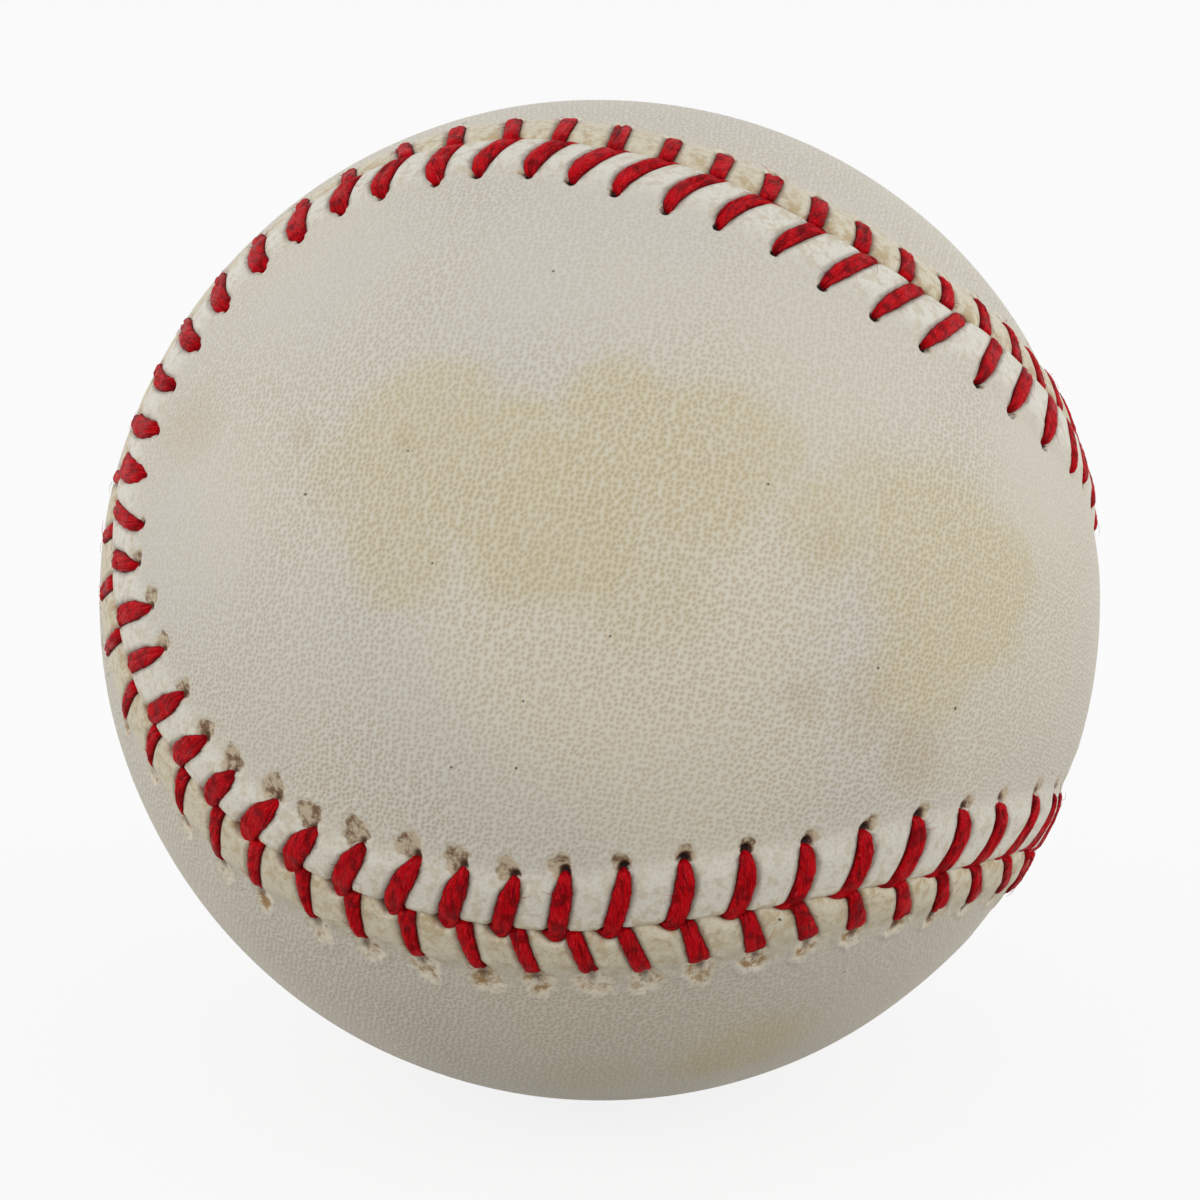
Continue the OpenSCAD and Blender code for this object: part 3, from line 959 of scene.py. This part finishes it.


# Patches seen on the cover: pixel x and y, radius and soft edge in millimetres, and strength
# A lighter, warmer tone over the middle of the seen side and its lower middle
LIGHTER_MIDDLE_PATCHES = ((620, 600, 17, 9, 0.8), (700, 760, 12, 8, 0.6))
YELLOW_STAINS = (
    (430, 450, 7.5, 3, 0.75), (350, 480, 3.5, 2, 0.5), (400, 540, 5.5, 2.5, 0.7), (490, 470, 7, 3, 0.8),
    (560, 520, 8, 3.5, 0.85), (630, 440, 6.5, 2.5, 0.8), (700, 460, 7.5, 3.5, 0.75),
    (770, 450, 3.5, 2, 0.6), (640, 570, 6, 4, 0.5), (825, 520, 4.5, 2.5, 0.7), (880, 500, 5, 3, 0.6),
    (940, 550, 8.5, 3.5, 0.8), (985, 590, 6.5, 2.5, 0.85), (930, 650, 6.5, 3.5, 0.8),
    (740, 1050, 7, 4, 0.8), (600, 1075, 5, 4, 0.5)
)
BROWN_STAINS = (
    (915, 755, 4.5, 3.5, 0.55), (870, 700, 4, 3.5, 0.4), (800, 695, 2.5, 2, 0.35),
    (405, 437, 1.2, 1, 0.5), (310, 440, 2.2, 1.8, 0.4), (190, 425, 5, 4, 0.4), (820, 545, 2, 1.5, 0.35)
)
SMOOTH_AREAS = (
    (195, 520, 11, 8, 0.5), (330, 270, 12, 9, 0.5), (600, 250, 13, 9, 0.45), (850, 330, 12, 8, 0.4),
    (1040, 470, 10, 8, 0.6)
)
MARKS = (
    (516, 767, 0.13), (451, 766, 0.12), (553, 270, 0.13), (305, 493, 0.15), (878, 667, 0.14),
    (408, 450, 0.11), (610, 635, 0.12), (432, 562, 0.11), (523, 700, 0.11), (768, 483, 0.13)
)

LEATHER_COOL = colour(216, 212, 203)
LEATHER_WARM = colour(219, 213, 199)
LEATHER_CREAM = colour(228, 221, 202)
# Painted highlight on the lit side of each dimple
GRAIN_PAINTED_HIGHLIGHT = colour(232, 228, 218)
# The pits' darker tone, also used as painted shade on the dark side of each dimple
PIT_TONE_AND_PAINTED_SHADE = colour(178, 154, 116)
YELLOWED = colour(214, 203, 167)
BROWNED = colour(198, 182, 150)
# Painted shade and grime in the creases beside the arms and at the rolled edge
CREASE_SHADE_AND_DIRT = colour(84, 58, 42)
# Torn hide darkened towards the hole, partly painted shade
DEEP_TORN_AND_SHADE = colour(84, 54, 37)
# Painted shade inside the holes
HOLE_PAINTED_SHADE = colour(30, 16, 12)
MARK = colour(36, 24, 20)

# How each panel is worn: the colour of its edge, the colour and reach of its grime, how much of
# the torn leather is pale, how many specks lie by the seam, and the colours of the bare hide, of
# its loose fibres and of the rim of a tear
WORN = {
    "edge": {FRONT: colour(235, 232, 221), TOP: colour(226, 218, 194)},
    "grime": {FRONT: colour(196, 178, 144), TOP: colour(190, 166, 124)},
    "reach": {FRONT: 1.3, TOP: 3.0},
    "pale": {FRONT: (0.78, 1.0), TOP: (0.72, 1.0)},
    "specks": {FRONT: 0.12, TOP: 0.45},
    "torn": {FRONT: colour(122, 94, 68), TOP: colour(168, 132, 86)},
    "fibre": {FRONT: colour(204, 188, 162), TOP: colour(240, 232, 213)},
    "rim": {FRONT: colour(226, 218, 200), TOP: colour(236, 227, 206)},
}


# Each dimple of the grain gets painted shade on its side towards this direction, and a painted highlight on
# the other side
PIT_SHADE = np.array([-0.85, -0.2, 0.5])
DIMPLES_PER_MM = 2.6
GRAIN_RELIEF = 0.00003


def grain(p, where, margin, side):
    """The hide's dimples, one in each cell of a pattern: how deep each point lies in one, how much painted
    shade it gets at the dimple's dark side, partly a darker tone of the whole pit, and how much
    painted highlight it gets at the other side."""
    flat = p.node("Attribute", attribute_name="grain", out="Vector")
    drifted = p.moved(flat, 0.3, 1.5)
    slow = p.noise(where, 75, 2)
    amount = p.math("MULTIPLY", p.step(slow, 0.36, 0.6, 0.75, 1.0), p.step(margin, 3.0, 7.0, 0.3, 1.0))
    amount = p.math("MULTIPLY", amount, p.math("SUBTRACT", 1.0, blots(p, where, SMOOTH_AREAS)))
    dimple = p.cells(drifted, DIMPLES_PER_MM, 0.7, out=None, voronoi_dimensions="2D")
    off = p.vector("SUBTRACT", drifted, dimple.outputs["Position"])
    towards = PIT_SHADE @ LYING
    towards = (towards[0 if side == FRONT else 1], towards[2], 0)
    aside = p.vector("DOT_PRODUCT", off, towards, out="Value")
    pits = p.math("MULTIPLY", p.step(dimple.outputs["Distance"], 0.6, 0.12), amount)
    shaded = p.math("MULTIPLY", pits, p.step(aside, -0.12, 0.16, 0.2, 1.0))
    lit = p.math("MULTIPLY", p.step(aside, -0.02, -0.2), amount)
    return pits, shaded, lit


def stained(p, where, tone):
    """The tone with a lighter, warmer patch over the middle and the lower middle, and the large stains over
    it. The outlines of the yellow and brown ones wander.
    """
    stain_place = p.moved(p.moved(where, 0.005, 130), 0.0011, 600)
    mottled = p.step(p.noise(where, 900, 3), 0.25, 0.75, 0.65, 1.0)
    tone = p.mix(blots(p, where, LIGHTER_MIDDLE_PATCHES), tone, LEATHER_CREAM)
    for patches, stain in ((YELLOW_STAINS, YELLOWED), (BROWN_STAINS, BROWNED)):
        tone = p.mix(p.math("MULTIPLY", blots(p, stain_place, patches), mottled), tone, stain)
    return tone


def dark_specks(p, where, margin, side):
    """Small rare specks all over, more of them by the seam, and the larger marks that are seen."""
    speck = p.cells(p.moved(where, 0.0003, 3000), 420, out=None)
    rare = p.node("TexWhiteNoise", {"Vector": speck.outputs["Position"]}, out="Value")
    rare = p.math("ADD", rare, p.step(margin, 4.5, 2.5, 0.0, WORN["specks"][side]))
    specks = p.math("MULTIPLY", p.step(speck.outputs["Distance"], 0.06, 0.03), p.step(rare, 0.95, 0.98))
    for x, y, radius in MARKS:
        specks = p.math("MAXIMUM", specks, blot(p, where, x, y, radius, radius * 0.6))
    return specks


def frayed(p, where, fibres, torn, hole, side, tone):
    """The tone with the torn leather over it: a pale rim, then bare hide with loose pale fibres,
    darker towards the hole, partly torn hide and partly painted shade, and the hole itself painted
    dark as its shade."""
    uneven = p.math("SUBTRACT", fibres, 0.5)
    ragged = p.math("MULTIPLY_ADD", uneven, 1.9, torn)
    patchy = p.noise(where, 800, 3, 0.6)
    pale = p.step(p.math("MULTIPLY_ADD", patchy, 0.8, fibres), *WORN["pale"][side])
    bare = p.mix(pale, WORN["torn"][side], WORN["fibre"][side])
    deep = p.math("SUBTRACT", hole, p.math("MULTIPLY", fibres, 0.3))
    bare = p.mix(p.step(deep, -0.1, 0.4), bare, DEEP_TORN_AND_SHADE)
    rim = p.math("MULTIPLY", p.step(ragged, 0.05, 0.35), p.step(torn, 0.03, 0.25, 0.0, 0.6))
    tone = p.mix(rim, tone, WORN["rim"][side])
    tone = p.mix(p.step(ragged, 0.25, 0.65), tone, bare)
    # The hole itself painted near black as its shade
    return p.mix(p.step(p.math("MULTIPLY_ADD", uneven, 1.4, hole), 0.6, 0.85), tone, HOLE_PAINTED_SHADE)


def leather_material(name, side):
    """Pale tawed hide: small shallow dimples with painted shade and painted highlight on their sides,
    a lighter middle, stains, paler and rubbed by the seam, grubby at its edge, painted shade and grime
    beside the arms, and torn at the holes, which are painted dark inside as shade."""
    p = Paint(bpy.data.materials.new(name))
    where = p.place()
    margin, torn, hole, crease = (p.value(label) for label in ("margin", "torn", "hole", "crease"))
    pits, shaded, lit = grain(p, where, margin, side)
    fine = p.noise(where, 3600, 3)
    creased = p.noise(p.moved(where, 0.001, 420), 1300, 4, 0.6)
    wrinkled = p.math("MULTIPLY", p.step(creased, 0.48, 0.62), p.step(margin, 6.0, 3.5))
    by_seam = p.step(margin, WORN["reach"][side], 0.1)
    grime = p.math("MULTIPLY", by_seam, p.step(creased, 0.36, 0.66))

    cloud = p.noise(where, 45, 3)
    tone = stained(p, where, p.mix(p.step(cloud, 0.3, 0.7), LEATHER_COOL, LEATHER_WARM))
    # From the first to the last, one over the other: where, how strongly and in what colour
    for share, strength, over in (
            (p.step(margin, 5.6, 2.8), 0.85, WORN["edge"][side]),
            # Painted highlight on each dimple's lit side, and painted shade on its dark side, partly the
            # pits' darker tone
            (lit, 0.42, GRAIN_PAINTED_HIGHLIGHT),
            (shaded, 0.68, PIT_TONE_AND_PAINTED_SHADE),
            (p.step(fine, 0.5, 0.8), 0.2, PIT_TONE_AND_PAINTED_SHADE),
            (wrinkled, 0.42, WORN["grime"][side]),
            (grime, 0.66, WORN["grime"][side]),
            # Painted shade and grime in the creases beside the arms
            (crease, 0.62, CREASE_SHADE_AND_DIRT),
            (dark_specks(p, where, margin, side), 0.85, MARK)):
        tone = p.mix(p.math("MULTIPLY", share, strength), tone, over)
    fibres = p.noise(p.moved(where, 0.0006, 900), 1700, 5, 0.75)
    tone = frayed(p, where, fibres, torn, hole, side, tone)

    rubbed = p.math("MULTIPLY", creased, p.step(margin, 6.0, 3.5, 0.0, 2.4))
    height = p.math("MULTIPLY_ADD", fine, 0.5, p.math("SUBTRACT", rubbed, pits))
    height = p.math("MULTIPLY_ADD", p.math("MULTIPLY", fibres, torn), 4.0, height)
    return p.finish(Base_Color=tone, Roughness=p.step(cloud, 0.3, 0.7, 0.6, 0.48),
                    Normal=p.bump(height, GRAIN_RELIEF), Specular_IOR_Level=0.3)


RED = colour(206, 0, 17)
# The thread's dark fibres, also used as painted shade at the arms' sides and grooves
RED_DEEP_AND_SHADE = colour(96, 0, 8)
# Paler fibres, partly painted highlight
RED_BRIGHT_FIBRE_AND_HIGHLIGHT = colour(248, 56, 66)
# Painted glints where the wax would shine
RED_PAINTED_GLINT = colour(246, 170, 168)


def thread_material():
    """Waxed red thread: long fine fibres, paler fibres partly as painted highlight, a few painted glints,
    painted shade at its sides and in its grooves, and a dull wax shine.
    """
    p = Paint(bpy.data.materials.new("waxed_red_thread"))
    fibre = p.node("Attribute", attribute_name="fibre", out="Vector")
    strands = p.noise(p.stretched(fibre, (3.6, 3.6, 0.4)), 1.0, 3, 0.6)
    fine = p.noise(p.stretched(fibre, (16.0, 16.0, 1.3)), 1.0, 2, 0.6)
    blotchy = p.noise(p.place(), 600, 3)
    tone = p.mix(p.step(strands, 0.34, 0.54, 0.3, 1.0), RED_DEEP_AND_SHADE, RED)
    # Paler fibres, partly painted highlight
    tone = p.mix(p.math("MULTIPLY", p.step(fine, 0.54, 0.68), 0.6), tone, RED_BRIGHT_FIBRE_AND_HIGHLIGHT)
    tone = p.mix(p.math("MULTIPLY", p.step(fine, 0.42, 0.3), 0.5), tone, RED_DEEP_AND_SHADE)
    # Painted glints: a few pale pink flecks
    painted_glints = p.math("MULTIPLY", p.step(fine, 0.68, 0.76), p.step(blotchy, 0.56, 0.64))
    tone = p.mix(p.math("MULTIPLY", painted_glints, 0.7), tone, RED_PAINTED_GLINT)
    up = p.node("SeparateXYZ", {"Vector": fibre}, out="Y")
    # Painted shade at the arm's sides and in the groove between its plies; the noise blotches are random
    # darker tone
    sides_and_groove_shade = p.step(p.math("ABSOLUTE", up), 0.27, 0.0)
    shade = p.math("MAXIMUM", sides_and_groove_shade, p.step(p.noise(p.place(), 1000, 2), 0.5, 0.36, 0.0, 0.7))
    tone = p.mix(p.math("MULTIPLY", shade, 0.85), tone, RED_DEEP_AND_SHADE)
    height = p.math("MULTIPLY_ADD", fine, 0.5, strands)
    return p.finish(Base_Color=tone, Roughness=p.step(blotchy, 0.35, 0.65, 0.4, 0.65),
                    Normal=p.bump(height, 0.0002), Specular_IOR_Level=0.08)


def granular_material(name, base, other, scale, relief, rough):
    """A moulded stuff with grains of another colour in it."""
    p = Paint(bpy.data.materials.new(name))
    where = p.place()
    grains = p.cells(p.moved(where, 0.0008, 500), scale)
    tone = p.mix(p.step(grains, 0.2, 0.5), other, base)
    tone = p.mix(p.math("MULTIPLY", p.step(p.noise(where, scale * 0.3, 3), 0.4, 0.7), 0.4), tone, other)
    return p.finish(Base_Color=tone, Roughness=rough, Normal=p.bump(grains, relief), Specular_IOR_Level=0.3)


YARN_TURNED = ((0.3, 1.1, 0), (1.3, 0.2, 0.8), (0.7, 2.2, 1.9))


def yarn_material(name, base, shade, turns):
    """Yarn wound tight over a ball: bands of parallel rounds that cross at slanting angles."""
    p = Paint(bpy.data.materials.new(name))
    where = p.place()
    picked = p.cells(where, 150, out="Color")
    lean = p.node("SeparateColor", {"Color": picked}, out="Red")
    height = None
    for n, turned in enumerate(YARN_TURNED):
        laid = p.node("Mapping", {"Vector": where, "Rotation": turned}, out="Vector")
        rounds = p.node("TexWave", {"Vector": laid, "Scale": turns, "Distortion": 2.0, "Detail": 1.0},
                        out="Fac", wave_type="BANDS", bands_direction="X", wave_profile="SIN")
        if height is None:
            height = rounds
        else:
            share = p.step(lean, 0.3 * n, 0.3 * n + 0.05)
            height = p.node("Mix", {"Factor": share, "A": height, "B": rounds})
    tone = p.mix(height, shade, base)
    fuzz = p.noise(where, 4000, 3)
    height = p.math("MULTIPLY_ADD", fuzz, 0.2, height)
    return p.finish(Base_Color=tone, Roughness=0.85, Normal=p.bump(height, 0.0004),
                    Specular_IOR_Level=0.2, Sheen_Weight=0.3)


thread = thread_material()
make_panel("leather_panel_front", FRONT, leather_material("pale_leather_front", FRONT))
make_panel("leather_panel_top", TOP, leather_material("pale_leather_top", TOP))
make_strand("waxed_thread_one", FRONT, thread)
make_strand("waxed_thread_two", TOP, thread)

black_rubber = granular_material("moulded_black_rubber", colour(34, 34, 36), colour(58, 56, 54),
                                 900, 0.00005, 0.6)
red_rubber = granular_material("moulded_red_rubber", colour(150, 48, 38), colour(120, 34, 28),
                               700, 0.00005, 0.55)
cork = granular_material("cork_composition", colour(176, 128, 84), colour(104, 62, 38), 480, 0.0002, 0.8)
cement = granular_material("dried_cement", colour(220, 208, 172), colour(188, 170, 128), 260, 0.0001, 0.5)
grey_yarn = yarn_material("grey_wool_yarn", colour(150, 150, 148), colour(88, 88, 88), 160)
white_yarn = yarn_material("white_wool_yarn", colour(226, 222, 210), colour(168, 162, 148), 180)
cotton_yarn = yarn_material("cotton_yarn", colour(232, 228, 214), colour(176, 170, 154), 320)
inside = {
    "cork_core": cork,
    "black_rubber_half_upper": black_rubber,
    "black_rubber_half_lower": black_rubber,
    "rubber_washer": red_rubber,
    "red_rubber_shell": red_rubber,
    "wool_winding_inner": grey_yarn,
    "wool_winding_middle": white_yarn,
    "wool_winding_outer": grey_yarn,
    "cotton_winding": cotton_yarn,
    "cement_coat": cement,
}
for node_name, material in inside.items():
    mesh = frame["nodes"][node_name].data
    mesh.materials.clear()
    mesh.materials.append(material)


# The floor, the light and the camera

FLOOR_W = 3.0
FLOOR_BOUNCE = (0.355, 0.33, 0.28, 1)
FLOOR_SEEN = 0.97
SHADOW_SHARE = 0.16
SKY_LOW = 1.26
SKY_HIGH = 0.44
WHITE = (1, 1, 1, 1)
LAMP_COLOUR = (1.0, 0.995, 0.985)
LAMP_SIZE = 0.6
LAMPS = {"left": ((-0.68, -0.2, 0.16), 1.15), "right": ((0.68, -0.2, 0.2), 1.2)}


def seen_plain(p):
    """1 for the rays of the camera, of gloss and of glass, which see the background as it is."""
    path = p.node("LightPath", out=None)
    other = p.math("MAXIMUM", path.outputs["Is Glossy Ray"], path.outputs["Is Transmission Ray"])
    return p.math("MAXIMUM", path.outputs["Is Camera Ray"], other)


def make_floor():
    """A plain pale floor that the ball rests on. It looks white and keeps a part of the ball's shadow."""
    mesh = bpy.data.meshes.new("floor")
    z = -BALL_R * MM
    corners = [(x * FLOOR_W, y * FLOOR_W, z) for x, y in ((-1, -1), (1, -1), (1, 1), (-1, 1))]
    mesh.from_pydata(corners, [], [(0, 1, 2, 3)])
    floor = in_scene("floor", mesh)
    p = Paint(bpy.data.materials.new("pale_floor"))
    plain = seen_plain(p)
    tone = p.mix(plain, FLOOR_BOUNCE, (FLOOR_SEEN, FLOOR_SEEN, FLOOR_SEEN, 1))
    mesh.materials.append(p.finish(Base_Color=tone, Roughness=0.9, Specular_IOR_Level=0.0))
    glow = p.node("Emission", {"Color": WHITE, "Strength": 1.0}, out="Emission")
    lit = p.tree.nodes["Principled BSDF"].outputs[0]
    share = p.math("MULTIPLY", plain, 1 - SHADOW_SHARE)
    both = p.node("MixShader", {"Fac": share, 1: lit, 2: glow}, out="Shader")
    p.put(p.tree.nodes["Material Output"].inputs["Surface"], both)


def make_world():
    """White to the camera, and an even soft light on the ball, stronger from the sides than from above."""
    world = bpy.data.worlds.new("studio")
    bpy.context.scene.world = world
    p = Paint(world)
    up = p.node("SeparateXYZ", {"Vector": p.node("TexCoord", out="Generated")}, out="Z")
    level = p.node("MapRange", {"Value": up, "To Min": SKY_LOW, "To Max": SKY_HIGH})
    sky = p.tree.nodes["Background"]
    p.put(sky.inputs["Color"], WHITE)
    p.put(sky.inputs["Strength"], level)
    white = p.node("Background", {"Color": WHITE})
    both = p.node("MixShader", {"Fac": seen_plain(p), 1: sky.outputs[0], 2: white})
    p.put(p.tree.nodes["World Output"].inputs["Surface"], both)


def face_ball(name, data, place_m):
    """A new object at a place in metres that looks at the ball's centre."""
    made = in_scene(name, data)
    made.location = place_m
    made.rotation_mode = "QUATERNION"
    made.rotation_quaternion = Vector(-unit(np.array(place_m, float))).to_track_quat("-Z", "Y")
    return made


def make_lamp(name, place_m, watts):
    """A square soft lamp."""
    data = bpy.data.lights.new(name, "AREA")
    data.shape = "SQUARE"
    data.size = LAMP_SIZE
    data.energy = watts
    data.color = LAMP_COLOUR
    face_ball(name, data, place_m)


def make_camera():
    """The camera, where the photograph was taken from."""
    data = bpy.data.cameras.new("camera")
    data.lens = SENSOR_WIDTH * PHOTO_FOCAL / PHOTO_SIZE
    data.sensor_width = SENSOR_WIDTH
    data.clip_start = 0.01
    bpy.context.scene.camera = face_ball("camera", data, EYE * MM)


make_floor()
make_world()
for lamp_name, (lamp_place, lamp_watts) in LAMPS.items():
    make_lamp(lamp_name, lamp_place, lamp_watts)
make_camera()
bpy.context.scene.view_settings.view_transform = "Standard"
